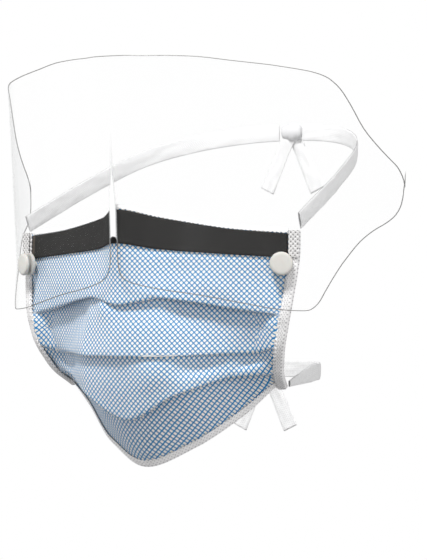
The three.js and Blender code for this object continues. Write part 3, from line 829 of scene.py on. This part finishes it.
def cloth_at(column, row):
    """A point of the cloth's middle surface with rounded fold lips, and its flat place."""
    key = round(column * SECTION_KEYS)
    if key not in SECTIONS:
        SECTIONS[key] = section(column)
    points, places = SECTIONS[key]
    i = min(int(row), LAST_ROW - 1)
    t = row - i
    a, b = points[i], points[i + 1]
    share = min(CORNER_SHARE, LIP_ROUND / (b - a).length)
    flat = Vector(places[i]).lerp(Vector(places[i + 1]), t)

    def corner(k, s):
        before, after = points[k - 1], points[k + 1]
        first = points[k].lerp(before, min(CORNER_SHARE, LIP_ROUND / (before - points[k]).length))
        last = points[k].lerp(after, min(CORNER_SHARE, LIP_ROUND / (after - points[k]).length))
        return first * (1 - s) ** 2 + points[k] * 2 * s * (1 - s) + last * s * s

    if t < share and i > 0:
        return corner(i, 0.5 + 0.5 * t / share), flat
    if t > 1 - share and i + 1 < LAST_ROW:
        return corner(i + 1, 0.5 - 0.5 * (1 - t) / share), flat
    return a.lerp(b, t), flat


def outward(column, row):
    """The direction out of the panel at a place."""
    level = min(int(row), LAST_ROW - 1)
    step = 0.01
    at = min(max(column, -1 + step), 1 - step)
    along = cloth_at(at + step, row)[0] - cloth_at(at - step, row)[0]
    down = on_line(level + 1, column)[0] - on_line(level, column)[0]
    return -along.cross(down).normalized()


def creases(across, row):
    """How far the worn cloth stands out of its plain folds."""
    height = 0.0
    for dent in DENTS:
        x = (across - dent["across"]) / dent["wide"]
        y = (row - dent["row"]) / dent["tall"]
        height += dent["height"] * math.exp(-x * x - y * y)
    for wave in UNEVEN:
        at = Vector((across * wave["across"], row * wave["row"], wave["seed"]))
        height += noise.noise(at) * wave["height"]
    return height * smooth(*CREASES_IN, row) * (1 - smooth(*CREASES_OUT, row))


def row_share(v):
    """Rows are spread over the panels, closer together beside the lips."""
    at = v * LAST_ROW
    i = min(int(at), LAST_ROW - 1)
    t = at - i
    return i + t - ROW_CROWDING * math.sin(2 * math.pi * t)


def make_body():
    columns = 2 * (HALF_COLUMNS + SEAM_COLUMNS)
    rows = LAST_ROW * ROWS_PER_PANEL

    def column_at(u):
        k = round(u * columns) - columns / 2
        if abs(k) <= HALF_COLUMNS:
            return k / HALF_COLUMNS
        beyond = (abs(k) - HALF_COLUMNS) / SEAM_COLUMNS
        return math.copysign(1 + SEAM_SHARE * beyond, k)

    def spot(u, v):
        return cloth_at(column_at(u), row_share(1 - v))

    bm, shares = laid_grid(columns, rows, lambda u, v: spot(u, v)[0], lambda u, v: spot(u, v)[1])
    facing_front(bm)
    moves = []
    for vert, (u, v) in shares.items():
        across = spot(u, v)[1].x
        moves.append(vert.normal * creases(across, row_share(1 - v)))
    for vert, move in zip(shares, moves):
        vert.co += move
    ease(bm, [v for v in bm.verts if not v.is_boundary])
    body = piece_from(bm, "cloth_body", [printed_cloth(), lining()])
    thicken(body, CLOTH_PLY, inner=1)
    return finish_piece(body, "body_cloth", "mask_body")


# Strip, tapes and patches.
def visible_column(u):
    """Columns of the cloth between the side tapes, for u from 0 to 1."""
    return (2 * u - 1) * VISIBLE


def panel_share(length, column, row):
    return length / (on_line(row, column)[0] - on_line(row + 1, column)[0]).length


def make_strip():
    """The black felt, on the cloth from below the top tape to its foot."""
    lift = CAD_WALL / 2 + GAP + STRIP_PLY / 2

    def at(u, v):
        column = visible_column(u)
        top_row = panel_share(TOP_TAPE_LEG + GAP, column, 0)
        row = top_row * v + (1 - v) * STRIP_FOOT_ROW
        wave = STRIP_RIPPLE
        ripple = noise.noise(Vector((u * wave["across"], v * wave["down"], wave["seed"])))
        height = lift + ripple * wave["height"]
        return cloth_at(column, row)[0] + outward(column, row) * height

    def flat(u, v):
        return on_line(0, visible_column(u))[1], -STRIP_FLAT * (1 - v)

    bm, _ = laid_grid(*STRIP_GRID, at, flat)
    strip = piece_from(bm, "glare_strip_felt", [felt()])
    thicken(strip, STRIP_PLY * STRIP_PLY_SHARE)
    return finish_piece(strip, "anti_glare_strip", "glare_strip")


def folded_tape(name, edge_row, leg, node, skin):
    """A narrow tape folded over the top edge or the hem, its legs lying on both faces."""
    lift = CAD_WALL / 2 + GAP + BINDING_PLY / 2
    level = min(edge_row, LAST_ROW - 1)
    turn = GAP + BINDING_PLY / 2

    def at(u, v):
        column = visible_column(u)
        other = 1 if edge_row == 0 else LAST_ROW - 1
        edge = on_line(edge_row, column)[0]
        inward = (on_line(other, column)[0] - edge).normalized()
        out = outward(column, level + 0.5)
        across = on_line(edge_row, column)[1]
        reach = leg + SCALLOP * math.sin(2 * math.pi * across / SCALLOP_PITCH)
        if v < TURN_FROM:
            return edge + inward * (reach * (1 - v / TURN_FROM)) + out * lift
        if v > TURN_TO:
            return edge + inward * (reach * (v - TURN_TO) / (1 - TURN_TO)) - out * lift
        angle = math.pi * (v - TURN_FROM) / (TURN_TO - TURN_FROM)
        return edge + out * (lift * math.cos(angle)) - inward * (turn * 2 * math.sin(angle))

    def flat(u, v):
        return on_line(edge_row, visible_column(u))[1], FLAT_LEGS * leg * v

    bm, _ = laid_grid(*NARROW_TAPE_GRID, at, flat)
    tape = piece_from(bm, name, [skin])
    thicken(tape, BINDING_PLY * TAPE_PLY_SHARE)
    return finish_piece(tape, "binding_tape", node)


EDGE_ROUND = 0.004
STATION_ROWS = (
    "top edge",
    "strip foot",
    "first panel",
    "first lip",
    "second lip",
    "third lip",
    "hem",
)


def side_stations():
    """Places down the edge of the cloth: the point, the way out and the way through."""
    edge = [SIDE_POINTS[ROW[name]].copy() for name in STATION_ROWS]
    edge.insert(0, edge[0] + (edge[0] - edge[1]).normalized() * BINDING_RISE)
    edge.append(edge[-1] + (edge[-1] - edge[-2]).normalized() * BINDING_FOOT)
    stations = []
    for i, point in enumerate(edge):
        out = flare(point)
        down = edge[min(i + 1, len(edge) - 1)] - edge[max(i - 1, 0)]
        stations.append((point, out, down.cross(out).normalized()))
    return stations


STATIONS = side_stations()
EDGE_LENGTHS = [0.0]
for one, other in zip(STATIONS, STATIONS[1:]):
    EDGE_LENGTHS.append(EDGE_LENGTHS[-1] + (other[0] - one[0]).length)


def straight_edge(distance):
    """The side edge, straight from station to station: point, out, through."""
    k = 0
    while k < len(STATIONS) - 2 and EDGE_LENGTHS[k + 1] < distance:
        k += 1
    w = (distance - EDGE_LENGTHS[k]) / (EDGE_LENGTHS[k + 1] - EDGE_LENGTHS[k])
    return [a.lerp(b, w) for a, b in zip(STATIONS[k], STATIONS[k + 1])]


def on_edge(distance):
    """The side edge at a distance from its top, rounded a little at the stations."""
    near = [straight_edge(distance + step * EDGE_ROUND) for step in (-1, -0.5, 0, 0.5, 1)]
    point, out, through = (sum(column, Vector()) / len(near) for column in zip(*near))
    return point, out.normalized(), through.normalized()


def make_side_tape(sign, hand):
    """The white tape folded over the side, pinched to the cloth along its wavy inner edge."""
    length = EDGE_LENGTHS[-1]
    outer = BINDING_WIDTH - BINDING_INSET
    girth = 2 * outer + math.pi * CHANNEL * 0.5
    bulge = CHANNEL * TAPE_BULGE
    leg = TAPE_LEG_SHARE

    def at(u, v):
        distance = u * length
        point, out, through = on_edge(distance)
        wave = SCALLOP * math.sin(2 * math.pi * distance / SCALLOP_PITCH)
        ripple = TAPE_RIPPLE
        at_fold = Vector((distance * ripple["along"], v * ripple["round"], sign * 2.0))
        fold = ripple["height"] * noise.noise(at_fold)
        if v < leg or v > 1 - leg:
            share = v / leg if v < leg else (1 - v) / leg
            side = 1 if v < leg else -1
            across = (wave + BINDING_INSET) * (1 - share) + (outer - bulge) * share
            pinch = CHANNEL * (TAPE_PINCH + (1 - TAPE_PINCH) * smooth(0, 0.35, share))
            spot = point + out * across + through * (side * pinch + fold * share)
        else:
            angle = math.pi * (v - leg) / (1 - 2 * leg)
            across = outer - bulge + bulge * math.sin(angle)
            spot = point + out * across + through * (CHANNEL * math.cos(angle) + fold)
        return mirrored(spot) if sign < 0 else spot

    bm, _ = laid_grid(*SIDE_TAPE_GRID, at, lambda u, v: (u * length, v * girth))
    if sign < 0:
        bmesh.ops.reverse_faces(bm, faces=bm.faces)
    tape = piece_from(bm, f"side_tape_{hand}", [SKINS["tape"]])
    thicken(tape, BINDING_PLY)
    return finish_piece(tape, "binding_tape", f"side_binding_{hand}")


def make_patch(sign, hand):
    """The welded end of the upper tie, pressed with coarse points."""
    lift = CHANNEL + CAD_PLY + GAP
    low = EDGE_LENGTHS[2]
    width = BINDING_WIDTH - 2 * PATCH_INSET
    turns = 2 * math.pi / PATCH_PITCH

    def at(u, v):
        distance = v * low
        point, out, through = on_edge(distance)
        across = u * width
        press = math.cos(turns * (across + distance)) + math.cos(turns * (across - distance))
        spot = point + out * (across + PATCH_INSET) + through * (lift - PATCH_PRESS * press)
        return mirrored(spot) if sign < 0 else spot

    bm, _ = laid_grid(*PATCH_GRID, at, lambda u, v: (u * width, v * low))
    if sign > 0:
        bmesh.ops.reverse_faces(bm, faces=bm.faces)
    seat, axis = rivet_axis(sign)
    near = [
        face
        for face in bm.faces
        if ((face.calc_center_median() - seat).cross(axis)).length < RIVET_RADIUS + PATCH_ROOM
    ]
    bmesh.ops.delete(bm, geom=near, context="FACES")
    patch = piece_from(bm, f"tie_patch_weld_{hand}", [SKINS["patch"]])
    thicken(patch, TIE_PLY)
    return finish_piece(patch, "welded_patch", f"tie_patch_{hand}")


# Button rivets.
def rivet_axis(sign):
    """The middle of the cloth on a rivet's axis, and the axis, from the record's mount."""
    hand = "left" if sign > 0 else "right"
    mount = next(m for m in frame["record"]["mounts"] if m["name"] == f"visor_button_{hand}")
    axis = Vector(mount["axis"]).normalized()
    return Vector(mount["pos_m"]) - axis * (cap_floor() + CAP_HEIGHT), axis


def washer_floor():
    return CHANNEL + CAD_PLY / 2 + GAP + SEAT_ROOM


def film_level():
    return washer_floor() + WASHER_HEIGHT + FILM_PLAY + CAD_FILM_PLY / 2


def cap_floor():
    return film_level() + CAD_FILM_PLY / 2 + FILM_PLAY


def turned(name, profile, sign, nodes):
    """A moulded piece spun about the rivet's axis."""
    seat, axis = rivet_axis(sign)
    bm = bmesh.new()
    verts = [bm.verts.new((radius, 0, height)) for radius, height in profile]
    edges = [bm.edges.new(pair) for pair in zip(verts, verts[1:])]
    bmesh.ops.spin(
        bm,
        geom=verts + edges,
        cent=(0, 0, 0),
        axis=(0, 0, 1),
        dvec=(0, 0, 0),
        angle=2 * math.pi,
        steps=SPIN_STEPS,
        use_merge=True,
    )
    bmesh.ops.remove_doubles(bm, verts=bm.verts, dist=HAIR)
    bmesh.ops.recalc_face_normals(bm, faces=bm.faces)
    turn = axis.to_track_quat("Z", "Y").to_matrix().to_4x4()
    bmesh.ops.transform(bm, matrix=Matrix.Translation(seat) @ turn, verts=bm.verts)
    thing = piece_from(bm, name, [SKINS["button"]])
    return finish_piece(thing, "button_plastic", *nodes)


def rounded(outline):
    """A turned profile with its inner corners rounded."""
    done = [outline[0]]
    for before, here, after in zip(outline, outline[1:], outline[2:]):
        a, b, c = Vector(before), Vector(here), Vector(after)
        room = CORNER_SHARE * min((a - b).length, (c - b).length)
        r = min(TURNED_ROUND, room)
        start, end = b + (a - b).normalized() * r, b + (c - b).normalized() * r
        for k in range(ROUND_STEPS + 1):
            t = k / ROUND_STEPS
            done.append(tuple(start * (1 - t) ** 2 + b * 2 * t * (1 - t) + end * t * t))
    done.append(outline[-1])
    return done


def make_rivet(sign, hand):
    """The button's cap with its post, the washer behind the film and the hidden foot, each
    from a profile of radii and heights."""
    r, low = RIVET_RADIUS, cap_floor()
    top = low + CAP_HEIGHT
    foot = -(CHANNEL + CAD_PLY / 2)
    cap = [(0, foot), (POST_RADIUS, foot), (POST_RADIUS, low), (r - CAP_BEVEL, low)]
    cap += [(r, low + CAP_RIM)] + [(r - inset, top - fall) for inset, fall in CAP_DOME]
    cap += [(CAP_FLAT, top), (0, top)]
    turned(f"button_cap_{hand}", rounded(cap), sign, [f"rivet_cap_{hand}"])
    low, hole = washer_floor(), POST_RADIUS + GAP
    top = low + WASHER_HEIGHT
    start = (hole, low + WASHER_START)
    washer = [start, (hole, low), (r, low), (r, top), (hole, top), start]
    turned(f"button_washer_{hand}", rounded(washer), sign, [f"rivet_washer_{hand}"])
    top = foot - GAP
    low = top - FOOT_HEIGHT
    base = [(0, low), (r - FOOT_BEVEL, low), (r, low + FOOT_BEVEL), (r, top), (0, top)]
    turned(f"button_foot_{hand}", rounded(base), sign, [f"rivet_foot_{hand}"])


# The film.
def film_plan():
    """The film's plan curve by arc length: a shallow tent in front, the bend at the side and
    the nearly straight lobe."""
    seat, axis = rivet_axis(1)
    target = seat + axis * film_level()
    tent = math.tan(math.radians(TENT))
    rise = target.y + STAND_OFF - tent * (target.x - TENT_ROUND / 2)
    bend = rise / (target.x**2 - TENT_ROUND**2 / 3)
    bend_from = target.x + BEND_OFFSET
    plan = [(0.0, -STAND_OFF, 0.0)]
    for _ in range(round(HALF_ARC / FILM_STEP) + 2):
        x, y, angle = plan[-1]
        x, y = x + FILM_STEP * math.cos(angle), y + FILM_STEP * math.sin(angle)
        radius = BEND_RADIUS if angle < math.radians(LOBE_FROM) else LOBE_RADIUS
        slope = (tent + 2 * bend * x) * min(x / TENT_ROUND, 1)
        plan.append((x, y, math.atan(slope) if x < bend_from else angle + FILM_STEP / radius))
    return plan


PLAN = film_plan()


def film_at(along, height):
    at = min(abs(along) / FILM_STEP, len(PLAN) - 1.001)
    k = int(at)
    x, y, angle = (a + (b - a) * (at - k) for a, b in zip(PLAN[k], PLAN[k + 1]))
    lean = LEAN * abs(height + RIVET_DROP)
    x, y = x + math.sin(angle) * lean, y - math.cos(angle) * lean
    return Vector((math.copysign(x, along), y, height))


def film_outline():
    """Half of the outline as (along, top, foot), from the notch outwards."""
    middle = -NOTCH_TOP - NOTCH_HALF
    notch = []
    for degrees in NOTCH_TURNS:
        turn = math.radians(degrees)
        notch.append((NOTCH_HALF * math.sin(turn), middle + NOTCH_HALF * math.cos(turn)))
    for along, fall in NOTCH_TABLE:
        notch.append((along * NOTCH_FLARE, middle - fall * NOTCH_FALL))
    rim = [(a, FILM_RISE, f) for a, f in notch]
    for along, top, foot in FILM_EDGE_TABLE:
        height = foot * (FILM_FALL if foot < 0 else FILM_RISE)
        rim.append((along * HALF_ARC, top * FILM_RISE, height))
    return rim


def fine_outline(rim):
    """The outline's points on smooth curves beyond the notch's round end."""
    tops = [Vector((a, t, 0)) for a, t, _ in rim]
    feet = [Vector((a, f, 0)) for a, _, f in rim]
    steps = (len(rim) - 1) * FILM_SPANS
    fine = []
    for k in range(steps + 1):
        share = k / steps
        top, foot = catmull(tops, share), catmull(feet, share)
        fine.append((foot.x, max(foot.x, 0) and top.x, top.y, foot.y))
    return fine


def make_film():
    fine = fine_outline(film_outline())
    half = len(fine) - 1

    def at(u, v):
        k = round(u * 2 * half) - half
        foot_x, top_x, top, foot = fine[abs(k)]
        along = foot_x + (top_x - foot_x) * v
        return Vector((math.copysign(along, k) if k else 0.0, foot + (top - foot) * v, 0))

    bm, _ = laid_grid(2 * half, FILM_LEVELS, at, lambda u, v: tuple(at(u, v).xy))
    ring = bmesh.ops.inset_region(
        bm, faces=bm.faces, use_boundary=True, use_even_offset=True, thickness=FILM_EDGE
    )["faces"]
    for face in ring:
        face.material_index = 1
    uv = bm.loops.layers.uv.active
    for face in bm.faces:
        for loop in face.loops:
            loop[uv].uv = loop.vert.co.xy
    for vert in bm.verts:
        vert.co = film_at(vert.co.x, vert.co.y)
    bm.normal_update()
    facing_front(bm)
    film = piece_from(bm, "visor_film", [clear_film(), film_edge()])
    thicken(film, FILM_PLY)
    return finish_piece(film, "clear_film", "visor")


# Ties and knots.
def top_tie_points():
    point, out, _ = STATIONS[0]
    start = point + out * (BINDING_WIDTH - TIE_PLY)
    start.z += TIE_WIDTH / 2 + GAP
    points = [start]
    for degrees, rise in CROWN_STEPS:
        turn = math.radians(degrees)
        y = CROWN_CENTRE_Y - CROWN_HALF_DEPTH * math.cos(turn)
        points.append(Vector((CROWN_HALF_WIDTH * math.sin(turn), y, start.z + CROWN_RISE * rise)))
    return points


def bottom_tie_points():
    point, out, _ = STATIONS[-2]
    points = [point + out * (BINDING_WIDTH + GAP + TIE_PLY)]
    for degrees in NECK_STEPS:
        turn = math.radians(degrees)
        y = NECK_CENTRE_Y - NECK_RADIUS * math.cos(turn)
        points.append(Vector((NECK_RADIUS * math.sin(turn), y, -NECK_DROP)))
    return points


def make_tie(path, name, node, sign, width_at):
    """A tape folded lengthways, its free edge lying a third of the way up."""
    last = 1 - (KNOT.x / 2 + KNOT_PLAY) / path.length

    def at(u, v):
        share = u * last
        point, along = path.at(share), path.along(share)
        across = (Vector((0, 0, 1)) - along * along.z).normalized()
        away = across.cross(along).normalized()
        x, y = math.cos(2 * math.pi * v), math.sin(2 * math.pi * v)
        step = TIE_STEP * smooth(*TIE_STEP_AT, x * 0.5 + 0.5) if y < 0 else 0
        wave = TIE_RIPPLE
        ripple = Vector((share * path.length * wave["along"], x * wave["across"], sign))
        height = wave["height"] * noise.noise(ripple) - step
        height += abs(y) ** TIE_ROUND * (1 if y > 0 else -1) * TIE_PLY * TIE_PUFF
        spot = point + across * (x * width_at(share) / 2) + away * height
        return mirrored(spot) if sign < 0 else spot

    girth = 2 * TIE_WIDTH
    bm, _ = laid_grid(*TIE_GRID, at, lambda u, v: (u * path.length, v * girth))
    closed(bm)
    bmesh.ops.recalc_face_normals(bm, faces=bm.faces)
    tie = piece_from(bm, name, [SKINS["tie"]])
    return finish_piece(tie, "tie_tape", node)


def make_knot(path, name, node):
    """A plain knot: two turns of tape round a puffed middle, and two tails."""
    end = path.at(1)
    bm = bmesh.new()
    around_x, around_z = KNOT_GRID
    bmesh.ops.create_uvsphere(
        bm, u_segments=around_x, v_segments=around_z, radius=0.5, calc_uvs=True
    )
    for vert in bm.verts:
        p = vert.co
        slant = KNOT_SLANT * math.sin(math.atan2(p.z, p.y))
        groove = math.cos(2 * math.pi * (p.x * KNOT_WRAPS + slant))
        p *= 1 + KNOT_GROOVE * groove
        vert.co = Vector((p.x * KNOT.x, p.y * KNOT.y, p.z * KNOT.z)) * KNOT_SHARE
    parts = [bm]
    for side in (1, -1):
        lean = math.atan2(KNOT_TAIL_SPREAD, KNOT_TAIL) * side

        def at(u, v, side=side, lean=lean):
            flat_x, flat_y = math.cos(2 * math.pi * v), math.sin(2 * math.pi * v)
            x = flat_x * TIE_WIDTH / 2 * (TAIL_NARROW + (1 - TAIL_NARROW) * u)
            y = (flat_y * TAIL_PUFF + side * TAIL_SHIFT) * TIE_PLY
            wave = TAIL_RIPPLE
            ripple = Vector((u * wave["along"], flat_x * wave["across"], side * wave["seed"]))
            y += wave["height"] * noise.noise(ripple)
            down = -u * KNOT_TAIL
            sideways = x * math.cos(lean) - down * math.sin(lean)
            return Vector((sideways, y, x * math.sin(lean) + down * math.cos(lean)))

        tail, _ = laid_grid(*TAIL_GRID, at, lambda u, v: (u * KNOT_TAIL, v * 2 * TIE_WIDTH))
        closed(tail)
        parts.append(tail)
    whole = bmesh.new()
    for part in parts:
        loose = bpy.data.meshes.new("loose")
        part.to_mesh(loose)
        part.free()
        whole.from_mesh(loose)
        bpy.data.meshes.remove(loose)
    bmesh.ops.recalc_face_normals(whole, faces=whole.faces)
    bmesh.ops.translate(whole, verts=whole.verts, vec=end)
    knot = piece_from(whole, name, [SKINS["tie"]])
    return finish_piece(knot, "tie_tape", node)


# The whole mask.
make_camera()
make_studio()
SKINS = {key: point_bonded(**look) for key, look in TAPE_LOOKS.items()}
SKINS["button"] = button_plastic()
body = make_body()
make_strip()
tapes = [
    folded_tape("top_tape", 0, TOP_TAPE_LEG, "top_binding", SKINS["tie"]),
    folded_tape("hem_tape", LAST_ROW, HEM_TAPE_LEG, "hem_binding", SKINS["hem"]),
]
make_film()
TOP_PATH = Path(top_tie_points())
BOTTOM_PATH = Path(bottom_tie_points())
for sign, hand in ((1, "left"), (-1, "right")):
    tapes.append(make_side_tape(sign, hand))
    make_patch(sign, hand)
    make_rivet(sign, hand)
    make_tie(TOP_PATH, f"upper_tie_{hand}", f"top_tie_{hand}", sign, lambda share: TIE_WIDTH)
    make_tie(
        BOTTOM_PATH,
        f"lower_tie_{hand}",
        f"bottom_tie_{hand}",
        sign,
        lambda share: TIE_WIDTH * min(TIE_GATHER + TIE_SPREAD * share, 1),
    )
make_knot(TOP_PATH, "crown_knot", "top_knot")
make_knot(BOTTOM_PATH, "neck_knot", "bottom_knot")
